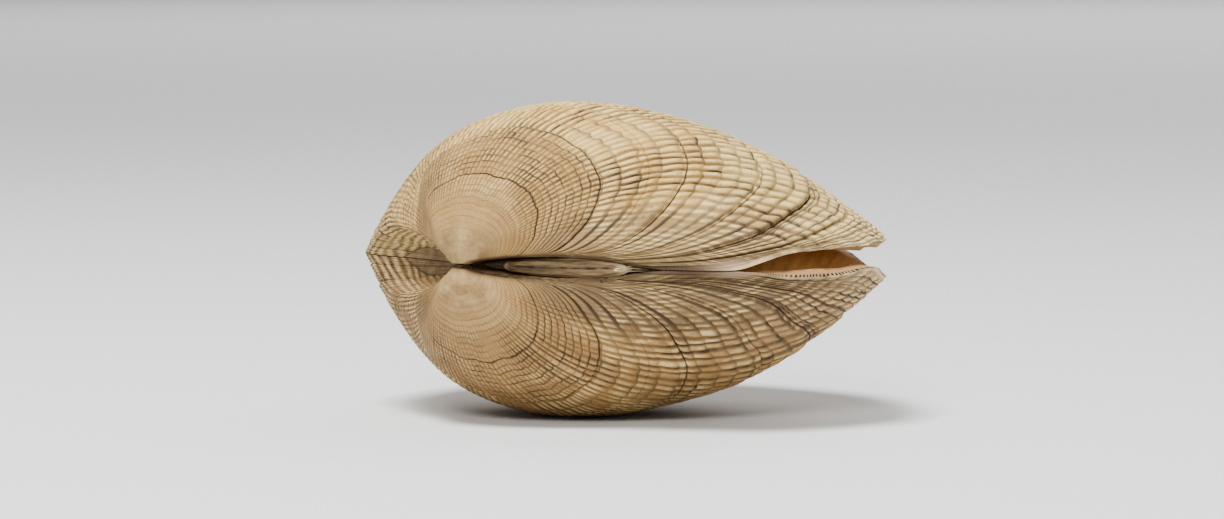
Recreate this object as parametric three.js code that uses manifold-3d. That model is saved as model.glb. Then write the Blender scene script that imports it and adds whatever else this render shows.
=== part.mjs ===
// A closed clam shell: two hollow valves and the dry ligament between them at the hinge.
// Millimetres, +Z up. The shell lies on its left valve, on a small flat that is worn into it.
// Each valve is grown: the outline of its open edge is scaled down and turned about the hinge axis, stage by
// stage, until it ends in the beak. A stage of 1 is the open edge, and the beak is close to 0.

import * as THREE from "three";
import { mergeVertices } from "three/addons/utils/BufferGeometryUtils.js";
import Module from "manifold-3d";

// Outline of the open edge: x towards the siphon end, y from the hinge to the belly.
const OUTLINE = [
  [0, 1.1],
  [9, 0.6],
  [18, 0.8],
  [27.5, 2],
  [34.5, 7.2],
  [38.3, 14.2],
  [39.4, 21.6],
  [36.6, 28.6],
  [31, 34.4],
  [22.5, 39.2],
  [12.3, 42],
  [1.8, 41],
  [-8.2, 36.6],
  [-14.8, 29],
  [-17, 19.2],
  [-15.6, 11.6],
  [-9.3, 7.8],
  [-3.6, 4.4],
];

// Growth: how the outline shrinks and turns from stage to stage.
const COIL_RATE = 1.235;
const COIL_EASE = 0.91;
const AXIS_TILT = THREE.MathUtils.degToRad(6.4);
const WIDTH_POWER = 0.9;
const WIDTH_SKEW = 0.0015;
const BEAK_PINCH = 0.25;
const PINCH_WIDTH = 10;
const PINCH_STAGES = [0.12, 0.6];
const PINCH_REACH = [16, 36];

// Half of the gap between the two valves.
const HALF_GAP = 0.15;

// Slot for the ligament, behind the beaks: distance along the hinge and half of the extra opening there.
const SLOT = [
  [-1, 0],
  [0.4, 0.05],
  [2.3, 0.55],
  [5, 0.92],
  [10, 1.15],
  [15, 0.95],
  [18.5, 0.3],
  [21, 0],
];
const SLOT_FLOOR = [1.5, 5];
const SLOT_SQUEEZE = 0.1;

// Wear of the open edge at the siphon end, as shares of the stage. The inner edge has lost less.
const RIGHT_WEAR = [
  { depth: 0.09, centre: 0.242, reach: 0.062, bluntness: 0.6, inner: 0.88 },
  { depth: 0.028, centre: 0.3, reach: 0.04, bluntness: 1, inner: 0.65 },
  { depth: 0.05, centre: 0.37, reach: 0.115, bluntness: 1, inner: 0.5 },
];
const LEFT_WEAR = [
  { depth: 0.05, centre: 0.234, reach: 0.07, bluntness: 1, inner: 0.1 },
  { depth: 0.046, centre: 0.362, reach: 0.105, bluntness: 1, inner: 0.5 },
];

// The right valve's tip at the siphon end stands a little further out and up.
const RIGHT_TIP = [0.1, 0, 0.45];
const LEFT_TIP = [0, 0, 0];
const TIP_SHARES = [0.25, 0.32, 0.35, 0.42];
const TIP_STAGES = [0.84, 0.99];

// The left valve is deeper, most of all towards the siphon end.
const LEFT_DEPTH = 1.055;
const LEFT_SKEW = 0.0015;
const LEFT_SKEW_CENTRE = 10;

// Growth ledges: stage, depth and half-width of each groove.
const LEDGES = [
  { at: 0.866, depth: 0.25, reach: 0.012 },
  { at: 0.795, depth: 0.5, reach: 0.014 },
  { at: 0.688, depth: 0.2, reach: 0.012 },
  { at: 0.533, depth: 0.35, reach: 0.012 },
  { at: 0.349, depth: 0.3, reach: 0.01 },
];

// Stages between the ledges, and the stages of the inside.
const SMOOTH_STAGES = [1, 0.93, 0.74, 0.61, 0.44, 0.275, 0.205, 0.145, 0.09, 0.05, 0.027];
const INNER_STAGES = [1, 0.9, 0.78, 0.65, 0.5, 0.38, 0.28];
const WORN_FROM = 0.88;

// Wall thickness, and its growth at the hinge.
const WALL = 1.9;
const HINGE_WALL = { extra: 1.5, centre: 0.06, reach: 0.16 };
const LOOP_CENTRE = [11, 20];

const OUTER_COLUMNS = 80;
const INNER_COLUMNS = 40;

// The floor under the shell and the middle of the worn flat, measured from the hinge.
const FLOOR_Z = -16.1;
const REST_POINT = [6.5, 16.5];

// Ligament: distance along the hinge, half height and half depth of each section.
const LIGAMENT_SECTIONS = [
  [3.6, 0.06, 0.15],
  [4.8, 0.26, 0.4],
  [6.6, 0.5, 0.55],
  [9, 0.74, 0.65],
  [11.5, 0.84, 0.7],
  [14, 0.74, 0.65],
  [16.2, 0.52, 0.55],
  [18.2, 0.26, 0.4],
  [19.8, 0.06, 0.15],
];
const LIGAMENT_DEPTH = 1.15;
const LIGAMENT_SIDES = 14;

const RIGHT_COLOUR = 0xcfb48d;
const LEFT_COLOUR = 0xb59a72;
const LIGAMENT_COLOUR = 0x6e5a40;

const wasm = await Module();
wasm.setup();

// A smooth hill of height 1, on the closed outline.
function bump(share, centre, reach) {
  const offset = Math.abs(((((share - centre + 0.5) % 1) + 1) % 1) - 0.5);
  const t = Math.min(offset / reach, 1);
  return 0.5 + 0.5 * Math.cos(Math.PI * t);
}

// Points spaced evenly along the smooth closed outline.
function outlinePoints(count) {
  const corners = OUTLINE.map(([x, y]) => new THREE.Vector3(x, y, 0));
  const curve = new THREE.CatmullRomCurve3(corners, true, "catmullrom", 0.5);
  curve.arcLengthDivisions = 1800;
  return curve.getSpacedPoints(count).slice(0, count);
}

// Half of the extra opening of the slot at a place near the hinge.
function slotAt(x, y) {
  const next = SLOT.findIndex(([at]) => at > x);
  if (next < 1) {
    return 0;
  }
  const [from, low] = SLOT[next - 1];
  const [to, high] = SLOT[next];
  const open = low + ((high - low) * (x - from)) / (to - from);
  return open * (1 - THREE.MathUtils.smoothstep(y, SLOT_FLOOR[0], SLOT_FLOOR[1]));
}

// Where a point of the outline is at a stage, moved in towards the middle of its loop.
function grownPoint(edge, stage, inset) {
  const across = edge.x * Math.cos(AXIS_TILT) - edge.y * Math.sin(AXIS_TILT);
  const out = edge.x * Math.sin(AXIS_TILT) + edge.y * Math.cos(AXIS_TILT);
  const power = WIDTH_POWER + WIDTH_SKEW * across;
  const young = 1 - THREE.MathUtils.smoothstep(stage, ...PINCH_STAGES);
  const near = 1 - THREE.MathUtils.smoothstep(out, ...PINCH_REACH);
  const pinch = BEAK_PINCH * THREE.MathUtils.smoothstep(-across, 0, PINCH_WIDTH) * young * near;
  let u = across * stage ** power * (1 - pinch);
  let g = out * stage;
  const toCentreU = LOOP_CENTRE[0] * stage - u;
  const toCentreG = LOOP_CENTRE[1] * stage - g;
  const reach = Math.hypot(toCentreU, toCentreG);
  u += (inset * toCentreU) / reach;
  g += (inset * toCentreG) / reach;
  const turn = (-Math.log(stage) / COIL_RATE) * (1 + COIL_EASE * stage);
  const along = g * Math.cos(turn);
  const x = u * Math.cos(AXIS_TILT) + along * Math.sin(AXIS_TILT);
  const y = -u * Math.sin(AXIS_TILT) + along * Math.cos(AXIS_TILT);
  const z = HALF_GAP + g * Math.sin(turn);
  const roof = HALF_GAP + slotAt(x, y);
  return new THREE.Vector3(x, y, z < roof ? roof - SLOT_SQUEEZE * (roof - z) : z);
}

// The stage pulled back where the open edge is worn.
function wornStage(stage, share, wear, isInner) {
  if (stage <= WORN_FROM) {
    return stage;
  }
  let lost = 0;
  for (const { depth, centre, reach, bluntness, inner } of wear) {
    lost += depth * bump(share, centre, reach) ** bluntness * (isInner ? inner : 1);
  }
  return stage - (lost * (stage - WORN_FROM)) / (1 - WORN_FROM);
}

// How far a point of the siphon end's tip is moved.
function tipMove(tip, stage, share) {
  const [start, full, end, over] = TIP_SHARES;
  const before = THREE.MathUtils.smoothstep(share, start, full);
  const after = 1 - THREE.MathUtils.smoothstep(share, end, over);
  const near = THREE.MathUtils.smoothstep(stage, ...TIP_STAGES);
  return new THREE.Vector3(...tip).multiplyScalar(before * after * near);
}

// The outer stages from the open edge to the beak, with three for each ledge.
function outerStages() {
  const stages = SMOOTH_STAGES.map((at) => ({ at, depth: 0 }));
  for (const ledge of LEDGES) {
    stages.push({ at: ledge.at + ledge.reach, depth: 0 });
    stages.push({ at: ledge.at, depth: ledge.depth });
    stages.push({ at: ledge.at - ledge.reach, depth: 0 });
  }
  return stages.sort((a, b) => b.at - a.at);
}

// The vertices and triangles of one valve, as it lies above the plane of the open edge.
function valveShape(wear, tip) {
  const points = [];
  const triangles = [];
  const edge = outlinePoints(OUTER_COLUMNS);
  const step = OUTER_COLUMNS / INNER_COLUMNS;

  const outerRows = outerStages().map(({ at, depth }) =>
    edge.map((corner, j) => {
      const share = j / OUTER_COLUMNS;
      const point = grownPoint(corner, wornStage(at, share, wear, false), depth);
      points.push(point.add(tipMove(tip, at, share)));
      return points.length - 1;
    }),
  );
  const innerRows = INNER_STAGES.map((at) =>
    edge
      .filter((_, j) => j % step === 0)
      .map((corner, j) => {
        const share = j / INNER_COLUMNS;
        const thick = WALL + HINGE_WALL.extra * bump(share, HINGE_WALL.centre, HINGE_WALL.reach);
        const point = grownPoint(corner, wornStage(at, share, wear, true), thick);
        points.push(point.add(tipMove(tip, at, share)));
        return points.length - 1;
      }),
  );

  const band = (upper, lower) => {
    upper.forEach((a, j) => {
      const k = (j + 1) % upper.length;
      triangles.push([a, upper[k], lower[k]], [a, lower[k], lower[j]]);
    });
  };
  const cap = (row) => {
    const middle = new THREE.Vector3();
    row.forEach((i) => middle.add(points[i]));
    points.push(middle.divideScalar(row.length));
    row.forEach((a, j) => triangles.push([a, row[(j + 1) % row.length], points.length - 1]));
  };

  for (let i = 1; i < outerRows.length; i += 1) {
    band(outerRows[i - 1], outerRows[i]);
  }
  cap(outerRows.at(-1));
  const outsideCount = triangles.length;

  for (let i = 1; i < innerRows.length; i += 1) {
    band(innerRows[i - 1], innerRows[i]);
  }
  cap(innerRows.at(-1));
  for (let t = outsideCount; t < triangles.length; t += 1) {
    triangles[t].reverse();
  }

  // The flat of the rim, between the outer and the inner edge.
  innerRows[0].forEach((a, j) => {
    const b = innerRows[0][(j + 1) % INNER_COLUMNS];
    const first = outerRows[0][j * step];
    const mid = outerRows[0][j * step + 1];
    const last = outerRows[0][(j * step + 2) % OUTER_COLUMNS];
    triangles.push([mid, first, a], [mid, a, b], [last, mid, b]);
  });
  return { points, triangles };
}

// A closed geometry whose faces point out.
function closedGeometry(points, triangles) {
  let volume = 0;
  for (const [a, b, c] of triangles) {
    volume += points[a].dot(points[b].clone().cross(points[c]));
  }
  const faces = volume < 0 ? triangles.map(([a, b, c]) => [a, c, b]) : triangles;
  const geometry = new THREE.BufferGeometry().setFromPoints(points);
  geometry.setIndex(faces.flat());
  geometry.computeVertexNormals();
  return geometry;
}

function rightValveGeometry() {
  const { points, triangles } = valveShape(RIGHT_WEAR, RIGHT_TIP);
  return closedGeometry(points, triangles);
}

function leftValveGeometry() {
  const { points, triangles } = valveShape(LEFT_WEAR, LEFT_TIP);
  for (const point of points) {
    const depth = LEFT_DEPTH * (1 + LEFT_SKEW * (point.x - LEFT_SKEW_CENTRE));
    point.z = -(HALF_GAP + depth * (point.z - HALF_GAP));
  }
  return closedGeometry(points, triangles);
}

function ligamentGeometry() {
  const points = [];
  const triangles = [];
  const rows = LIGAMENT_SECTIONS.map(([x, high, deep]) =>
    Array.from({ length: LIGAMENT_SIDES }, (_, j) => {
      const angle = (2 * Math.PI * j) / LIGAMENT_SIDES;
      points.push(new THREE.Vector3(x, LIGAMENT_DEPTH + deep * Math.cos(angle), high * Math.sin(angle)));
      return points.length - 1;
    }),
  );
  for (let i = 1; i < rows.length; i += 1) {
    rows[i].forEach((a, j) => {
      const k = (j + 1) % LIGAMENT_SIDES;
      triangles.push([a, rows[i][k], rows[i - 1][k]], [a, rows[i - 1][k], rows[i - 1][j]]);
    });
  }
  const first = points.push(new THREE.Vector3(LIGAMENT_SECTIONS[0][0], LIGAMENT_DEPTH, 0)) - 1;
  const last = points.push(new THREE.Vector3(LIGAMENT_SECTIONS.at(-1)[0], LIGAMENT_DEPTH, 0)) - 1;
  for (let j = 0; j < LIGAMENT_SIDES; j += 1) {
    const k = (j + 1) % LIGAMENT_SIDES;
    triangles.push([rows[0][j], rows[0][k], first], [rows.at(-1)[k], rows.at(-1)[j], last]);
  }
  return closedGeometry(points, triangles);
}

// The part of a geometry above the floor.
function cutAtFloor(geometry) {
  const toSolid = (g) =>
    new wasm.Manifold(
      new wasm.Mesh({
        numProp: 3,
        vertProperties: new Float32Array(g.getAttribute("position").array),
        triVerts: new Uint32Array(g.index.array),
      }),
    );
  const box = new THREE.BoxGeometry(120, 120, 20);
  box.translate(0, 0, FLOOR_Z - 10);
  box.deleteAttribute("normal");
  box.deleteAttribute("uv");
  const floor = mergeVertices(box);
  const cut = toSolid(geometry).subtract(toSolid(floor)).getMesh();
  const result = new THREE.BufferGeometry();
  result.setAttribute("position", new THREE.BufferAttribute(cut.vertProperties, 3));
  result.setIndex(new THREE.BufferAttribute(cut.triVerts, 1));
  result.computeVertexNormals();
  return result;
}

function named(name, geometry, color, roughness) {
  const material = new THREE.MeshStandardMaterial({ color, roughness, metalness: 0 });
  const mesh = new THREE.Mesh(geometry, material);
  mesh.name = name;
  return mesh;
}

const shell = new THREE.Group();
shell.position.set(-REST_POINT[0], -REST_POINT[1], -FLOOR_Z);
shell.add(named("right_valve", rightValveGeometry(), RIGHT_COLOUR, 0.7));
shell.add(named("left_valve", cutAtFloor(leftValveGeometry()), LEFT_COLOUR, 0.75));
shell.add(named("ligament", ligamentGeometry(), LIGAMENT_COLOUR, 0.85));

const group = new THREE.Group();
group.add(shell);

export default group;
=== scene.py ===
# Dresses the clam shell: fine sculpture, worn edges, colours and the fibrous ligament.
# Shapes are worked out in millimetres from the hinge at the beaks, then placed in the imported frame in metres.
# A share is a place around the open edge: 0 at the hinge, then the siphon end, the belly and the front end.
# A line is a growth line, from 0 at the beak to 1 at the open edge, and past 1 on the inside.

import math

import bpy
import numpy as np
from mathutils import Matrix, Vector


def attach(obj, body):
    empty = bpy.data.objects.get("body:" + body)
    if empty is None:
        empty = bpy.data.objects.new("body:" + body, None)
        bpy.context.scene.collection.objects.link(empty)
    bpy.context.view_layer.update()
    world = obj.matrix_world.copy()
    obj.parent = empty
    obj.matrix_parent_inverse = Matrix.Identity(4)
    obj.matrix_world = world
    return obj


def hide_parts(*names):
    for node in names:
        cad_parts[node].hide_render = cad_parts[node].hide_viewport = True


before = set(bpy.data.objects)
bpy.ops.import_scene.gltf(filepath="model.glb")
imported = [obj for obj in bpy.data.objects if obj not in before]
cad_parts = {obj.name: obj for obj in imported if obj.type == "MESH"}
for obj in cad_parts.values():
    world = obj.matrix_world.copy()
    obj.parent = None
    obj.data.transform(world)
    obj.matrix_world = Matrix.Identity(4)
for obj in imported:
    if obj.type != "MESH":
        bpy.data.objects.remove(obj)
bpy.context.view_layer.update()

MM = 0.001

# Outline of the open edge: x towards the siphon end, y from the hinge to the belly.
OUTLINE = [
    (0, 1.1), (9, 0.6), (18, 0.8), (27.5, 2), (34.5, 7.2), (38.3, 14.2),
    (39.4, 21.6), (36.6, 28.6), (31, 34.4), (22.5, 39.2), (12.3, 42), (1.8, 41),
    (-8.2, 36.6), (-14.8, 29), (-17, 19.2), (-15.6, 11.6), (-9.3, 7.8), (-3.6, 4.4),
]
CURVE_STEPS = 100

# Growth: how the outline shrinks and turns from stage to stage.
COIL_RATE = 1.235
COIL_EASE = 0.91
AXIS_TILT = math.radians(6.4)
WIDTH_POWER = 0.9
WIDTH_SKEW = 0.0015
BEAK_PINCH = 0.25
PINCH_WIDTH = 10
PINCH_STAGES = (0.12, 0.6)
PINCH_REACH = (16, 36)
HALF_GAP = 0.15
CLOSE_GAP = 0.04
CLOSING_LINES = (0.8, 1)
LOOP_CENTRE = (11, 20)
MIDDLE_STAGE = 0.5
MIDDLE_INSET = 12

# Slot for the ligament, behind the beaks: distance along the hinge and half of the extra opening there.
SLOT = [(-1, 0), (0.4, 0.05), (2.3, 0.55), (5, 0.92), (10, 1.15), (15, 0.95), (18.5, 0.3), (21, 0)]
SLOT_FLOOR = (1.5, 5)
SLOT_SQUEEZE = 0.1

# Wear of the open edge at the siphon end: depth, place, reach, bluntness and the inner edge's share of it.
RIGHT_WEAR = [(0.09, 0.242, 0.062, 0.6, 0.88), (0.028, 0.3, 0.04, 1, 0.65), (0.05, 0.37, 0.115, 1, 0.5)]
LEFT_WEAR = [(0.05, 0.234, 0.07, 1, 0.1), (0.046, 0.362, 0.105, 1, 0.5)]
WORN_FROM = 0.88
CHIP_SPAN = (0.2, 0.46)
CHIP_DEPTH = 0.0035

# Chalky band along the worn edge: where it starts and ends, and how wide it is.
RIGHT_RIM = (0.172, 0.262, 0.026)
LEFT_RIM = (0.18, 0.42, 0.011)

# The right valve's tip at the siphon end stands a little further out and up.
RIGHT_TIP = (0.1, 0, 0.45)
LEFT_TIP = (0, 0, 0)
TIP_SPAN = (0.285, 0.385)
TIP_LINES = (0.84, 0.99)

# Growth lines waver, and the left valve's outer ones run closer to the hinge behind the ligament.
LINE_WAVE = 0.002
LINE_RIPPLE = 0.0008
LEFT_DRIFT = 0.03
DRIFT_SPAN = (0.16, 0.27)
DRIFT_LINES = (0.6, 0.93)

# The left valve is deeper, most of all towards the siphon end.
LEFT_DEPTH = 1.055
LEFT_SKEW = 0.0015
LEFT_SKEW_CENTRE = 10
# How strong the browning and painted shade in the slot are on the left valve.
LEFT_SLOT_SHADE = 0.6

# Wall thickness, its growth at the hinge, and the teeth inside the edge.
WALL = 1.9
HINGE_WALL = 1.5
HINGE_WALL_CENTRE = 0.06
HINGE_WALL_REACH = 0.16
TOOTH_HEIGHT = 0.16
TOOTH_ROWS = 1.2
TEETH_START = (0.19, 0.24)
TEETH_END = (0.92, 0.96)

# The floor under the shell and the middle of its flat, measured from the hinge.
FLOOR_Z = -16.1
REST_POINT = (6.5, 16.5)

# Growth ledges: stage, groove depth, how dark the line is, and the step at it.
LEDGES = [
    (0.213, 0.10, 0.95, 0.04),
    (0.349, 0.16, 0.95, 0.06),
    (0.455, 0.05, 0.35, 0.03),
    (0.535, 0.20, 0.95, 0.08),
    (0.688, 0.12, 0.60, 0.07),
    (0.790, 0.30, 1.00, 0.16),
    (0.800, 0.16, 0.70, 0.05),
    (0.866, 0.16, 0.75, 0.10),
    (0.935, 0.10, 0.50, 0.06),
]
LEDGE_REACH = 0.0045
LEDGE_FADE = 0.03
LEDGE_SEED = 40

# Ribs and the growth ridges that cross them.
RIBS = 84
RIB_CROWDING = [(0, 1), (0.62, 1), (0.8, 1.3), (0.97, 1.3), (1, 1)]
RIB_HEIGHT = 0.27
RIB_WANDER = 0.4
RIB_JITTER = 0.13
RIBBED_START = (0.22, 0.27)
RIBBED_END = (0.965, 0.99)
RIBBED_LINES = (0.11, 0.24)
FINE_FRONT = (0.66, 0.8)
RIDGE_HEIGHT = 0.16
RIDGE_WANDER = 0.12
RIDGE_JITTER = 0.07
RIDGE_SPACING = [
    (0.0, 0.013), (0.09, 0.012), (0.12, 0.012), (0.2, 0.014), (0.33, 0.018), (0.37, 0.042), (0.52, 0.045),
    (0.6, 0.037), (0.77, 0.036), (0.81, 0.02), (1.0, 0.02),
]
COUNT_STEPS = np.linspace(0, 1, 2001)
FULL_SIZE_LINE = 0.6
SWELL_HEIGHT = 0.08

# Places with a colour of their own: lunule, hinge side, smooth strip, front end and beak.
LUNULE_CENTRE = 0.957
LUNULE_HALF = 0.034
LUNULE_LIMIT = 0.036
LUNULE_DEPTH = 0.2
LUNULE_BORDER = 0.014
DORSAL_END = (0.24, 0.31)
STRIP_SPAN = (0.125, 0.2)
STRIP_LINES = (0.90, 0.94)
FRONT_START = (0.64, 0.74)
ZONE_LINES = (0.15, 0.3)
BEAK_LINES = (0.075, 0.13)
YOUNG_START = (0.09, 0.14)
YOUNG_END = (0.34, 0.36)

# Resolution of a valve's surface.
COLUMNS = 462
BEAK_ROWS = 14
BEAK_STAGE = 0.026
ROW_SPANS = [(0.12, 0.35, 30), (0.35, 0.8, 68), (0.8, 1.0, 48)]
LEDGE_ROWS = (-0.004, 0.0, 0.004)
INNER_ROWS = 14
INNER_DEEPEST = 0.28
LIP_LINE = 1.02

# Ligament: a worn top layer, a darker layer under it, and splinters at the torn rear end.
# Each section is a place along the hinge, half a height and half a depth.
TOP_LAYER = [
    (4.05, 0.02, 0.05), (4.6, 0.42, 0.4), (5.2, 0.52, 0.55), (6.4, 0.7, 0.68), (8.5, 0.88, 0.76),
    (10.5, 0.98, 0.8), (12.8, 1.07, 0.82), (14.5, 1.0, 0.78), (15.6, 0.86, 0.68), (16.5, 0.66, 0.55),
    (17.2, 0.4, 0.4), (17.8, 0.08, 0.15),
]
TOP_DEPTH = 1.05
UNDER_LAYER = [
    (1.6, 0.05, 0.1), (2.4, 0.26, 0.3), (4, 0.45, 0.4), (8, 0.7, 0.45), (13, 0.8, 0.45), (17, 0.5, 0.4),
    (19.4, 0.15, 0.2),
]
UNDER_DEPTH = 1.9
LIGAMENT_ROWS = 120
LIGAMENT_SIDES = 48
LIGAMENT_GROOVE = 0.3
GROOVE_HALF = 0.1
FLATNESS = 0.6
PALE_REAR = (16, 17.4)
PALE_FRONT = (4.3, 5)

# Each splinter is a place along the hinge and a height at its root, the same at its tip, and half its width.
SPLINTERS = [
    (16.2, 0.05, 17.3, 0.18, 0.08), (16.1, -0.06, 17.0, -0.24, 0.08), (16.5, 0.1, 15.6, 0.1, 0.09),
    (16.4, 0.0, 16.7, 0.42, 0.09), (16.4, 0.0, 16.0, -0.3, 0.07), (17.0, 0.2, 20.0, 0.02, 0.05),
    (16.7, -0.2, 20.5, -0.02, 0.06), (17.2, 0.26, 18.2, 0.42, 0.06),
]
SPLINTER_FRONT = 0.42
SPLINTER_SINK = 0.25
SPLINTER_SINK_FROM = 16
SPLINTER_THICK = 0.12
SPLINTER_TIP = 0.1
PALE_SPLINTER_END = 17.4

# Noise in the shapes: how many waves it adds, what their sum is divided by, and its seeds.
WAVES = 9
WAVE_SCALE = 3.2
RIGHT_SEED = 11
LEFT_SEED = 29
TOP_SEED = 61
UNDER_SEED = 71

# Growth bands of each valve: line and colour. The left valve, which lies below, has darker bands: partly a
# browner colour, partly painted shade.
RIGHT_TONES = [
    (0.0, (176, 146, 98)), (0.14, (174, 140, 80)), (0.28, (192, 154, 80)), (0.345, (202, 164, 86)),
    (0.37, (248, 210, 120)), (0.44, (232, 186, 90)), (0.5, (250, 212, 122)), (0.56, (229, 183, 90)),
    (0.63, (252, 217, 132)), (0.72, (248, 211, 124)), (0.8, (248, 214, 136)), (0.9, (248, 216, 142)),
    (1.0, (240, 216, 156)),
]
# Brown of the painted shade on the right valve's rib and ridge flanks.
RIGHT_FLANK_SHADE = (140, 106, 64)
RIGHT_DIRT = 0.88
LEFT_TONES_AND_SHADE = [
    (0.0, (178, 148, 100)), (0.14, (168, 132, 80)), (0.28, (164, 126, 74)), (0.345, (160, 122, 68)),
    (0.37, (178, 142, 88)), (0.44, (164, 126, 72)), (0.5, (174, 138, 86)), (0.56, (154, 117, 66)),
    (0.63, (178, 144, 95)), (0.72, (173, 140, 92)), (0.8, (170, 139, 95)), (0.9, (180, 151, 107)),
    (1.0, (196, 170, 126)),
]
# Brown of the painted shade on the left valve's rib and ridge flanks.
LEFT_FLANK_SHADE = (114, 84, 46)
LEFT_DIRT = 0.9

# Other colours of the shell.
WARM_BLOTCH = (180, 138, 70)
PALE_BLOTCH = (246, 210, 138)
STREAK = (140, 100, 50)
RAY = (150, 108, 56)
BEAK_STOPS = [(0.4, (112, 86, 54)), (0.57, (180, 152, 108))]
HINGE_SIDE = (116, 97, 72)
# Front end: partly a duller colour, partly painted shade.
FRONT_END_AND_SHADE = (160, 130, 84)
YOUNG_ARC = (136, 102, 60)
# Pale rib tops: partly wear, partly painted highlight.
RIB_TOP_WEAR_AND_HIGHLIGHT = (252, 222, 152)
DULL_BEAD = (172, 132, 72)
DIRT = (54, 42, 26)
SMUDGE = (84, 66, 44)
SMUDGE_LINE = 0.796
SMUDGE_REACH = (0.003, 0.016)
LEDGE_LINE = (50, 38, 24)
LEDGE_LINE_REACH = (0.0008, 0.0026)
# Painted shade low on the shell: its colour, and the height above the floor where it fades out.
UNDERSIDE_SHADE = (66, 50, 30)
UNDERSIDE_SHADE_HEIGHT = 0.006
STRIP_DARK = (104, 81, 62)
STRIP_PALE = (180, 151, 122)
STRIP_PALES = (0.158, 0.192)
LUNULE_STOPS = [(0.35, (108, 86, 58)), (0.65, (160, 134, 94))]
LUNULE_LINE = (58, 42, 26)
CHALK = (222, 194, 146)
LIP = (178, 136, 90)
PIT = (48, 32, 16)
PITS_PER_RIB = 4.0
PIT_START = (1.0, 1.003)
PIT_END = (1.012, 1.022)
# Brown of the slot's wall, deepened by painted shade.
SLOT_WALL_AND_SHADE = (92, 70, 44)
HOLLOW_STOPS = [(0.3, (196, 158, 112)), (0.6, (226, 196, 152))]
# Painted shade deep in the hollow, towards the beaks.
HOLLOW_SHADE = (70, 50, 30)
HOLLOW_LINES = (1.03, 1.08)
BEHIND_BEAKS = (0.003, 0.018)
# Painted glow inside the gape: its colour, lines, place and strength.
PAINTED_GLOW_COLOUR = (148, 126, 94)
GLOW_LINES = (1.08, 1.2)
GLOW_SPAN = (0.021, 0.0275)
GLOW_RANGE = (1.3, 6.0)

# Colours of the ligament.
FIBRE_STOPS = [(0.3, (40, 29, 16)), (0.42, (80, 61, 36)), (0.55, (110, 88, 56)), (0.7, (146, 122, 84))]
PALE_FIBRE_STOPS = [(0.3, (150, 124, 84)), (0.6, (232, 208, 158))]
FIBRE_GROOVE = (34, 24, 14)

# Finish: relief in metres and its strength, roughness and gloss.
SHELL_RELIEF = 0.0002
SHELL_RELIEF_STRENGTH = 0.7
SHELL_ROUGHNESS = (0.6, 0.82)
SHELL_GLOSS = 0.25
FIBRE_RELIEF = 0.0003
FIBRE_RELIEF_STRENGTH = 1.0
FIBRE_ROUGHNESS = 0.72
FIBRE_GLOSS = 0.3
FLOOR_ROUGHNESS = 0.9

# Noise in the colours: features to a metre, or its stretch along each coordinate.
BAND_NOISE = 110.0
BAND_DRIFT = 0.02
BLOTCH_NOISE = 85.0
PALE_NOISE = 170.0
BEAK_NOISE = 420.0
PALE_TOP_NOISE = 330.0
BREAK_NOISE = 520.0
GRIT_NOISE = 2400.0
GRIT_PATCH_NOISE = 200.0
LEDGE_NOISE = 240.0
LUNULE_NOISE = 300.0
CHALK_NOISE = 500.0
HOLLOW_NOISE = 130.0
PIT_NOISE = 300.0
GRAIN_NOISE = 1900.0
STREAK_STRETCH = (30.0, 330.0, 1.0)
RAY_STRETCH = (420.0, 16.0, 1.0)
ARC_STRETCH = (3.0, 75.0, 1.0)
FACET_STRETCH = (150.0, 60.0, 60.0)
FIBRE_STRETCH = (240.0, 2400.0, 2400.0)

# Sockets of a mix node that take and give colours.
MIX_FIRST = 6
MIX_SECOND = 7
MIX_RESULT = 2

# Camera: where the photograph was taken from, seen from the beaks.
CAMERA_AZIMUTH = math.radians(22.8)
CAMERA_ELEVATION = math.radians(4.4)
CAMERA_DISTANCE = 400
PICTURE_WIDTH = 1224
PICTURE_HEIGHT = 519
PIXELS_PER_MM = 10
BEAK_PIXEL = (461.5, 265)
SENSOR = 36
NEAR_CLIP = 0.01

# Floor and light, in metres and watts: each light's name, place, target, size and power.
FLOOR_SIZE = 14
FLOOR_DROP = 0.0002
FLOOR_GREY = 0.8
ROOM_LIGHT = 0.24
LIGHTS = [
    ("overhead", (-0.05, -0.2, 0.6), (0, 0, 0.016), (0.2, 0.2), 7.5),
    ("front", (0.1, -0.6, 0.42), (0, 0, 0.016), (0.25, 0.2), 3),
    ("background", (0, 2.6, 1.6), (0, 2.6, 0), (4, 3.6), 80),
]


# Curves and noise

def bump(share, centre, reach):
    """A smooth hill of height 1 on the closed outline."""
    offset = np.abs((share - centre + 0.5) % 1 - 0.5)
    return 0.5 + 0.5 * np.cos(np.pi * np.minimum(offset / reach, 1))


def rise(low, high, value):
    """A smooth step from 0 at low to 1 at high."""
    t = np.clip((value - low) / (high - low), 0, 1)
    return t * t * (3 - 2 * t)


def between(value, low, high, soft):
    """1 between two limits, with soft edges."""
    return rise(low - soft, low + soft, value) * (1 - rise(high - soft, high + soft, value))


def wobble(share, stage, seed, rounds, along):
    """Smooth noise of about plus or minus 1 that closes on itself around the outline."""
    random = np.random.default_rng(seed)
    total = 0
    for _ in range(WAVES):
        turns = random.integers(-rounds, rounds + 1)
        reach = random.uniform(-along, along)
        total = total + np.sin(2 * np.pi * (turns * share + reach * stage + random.uniform()))
    return total / WAVE_SCALE


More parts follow.
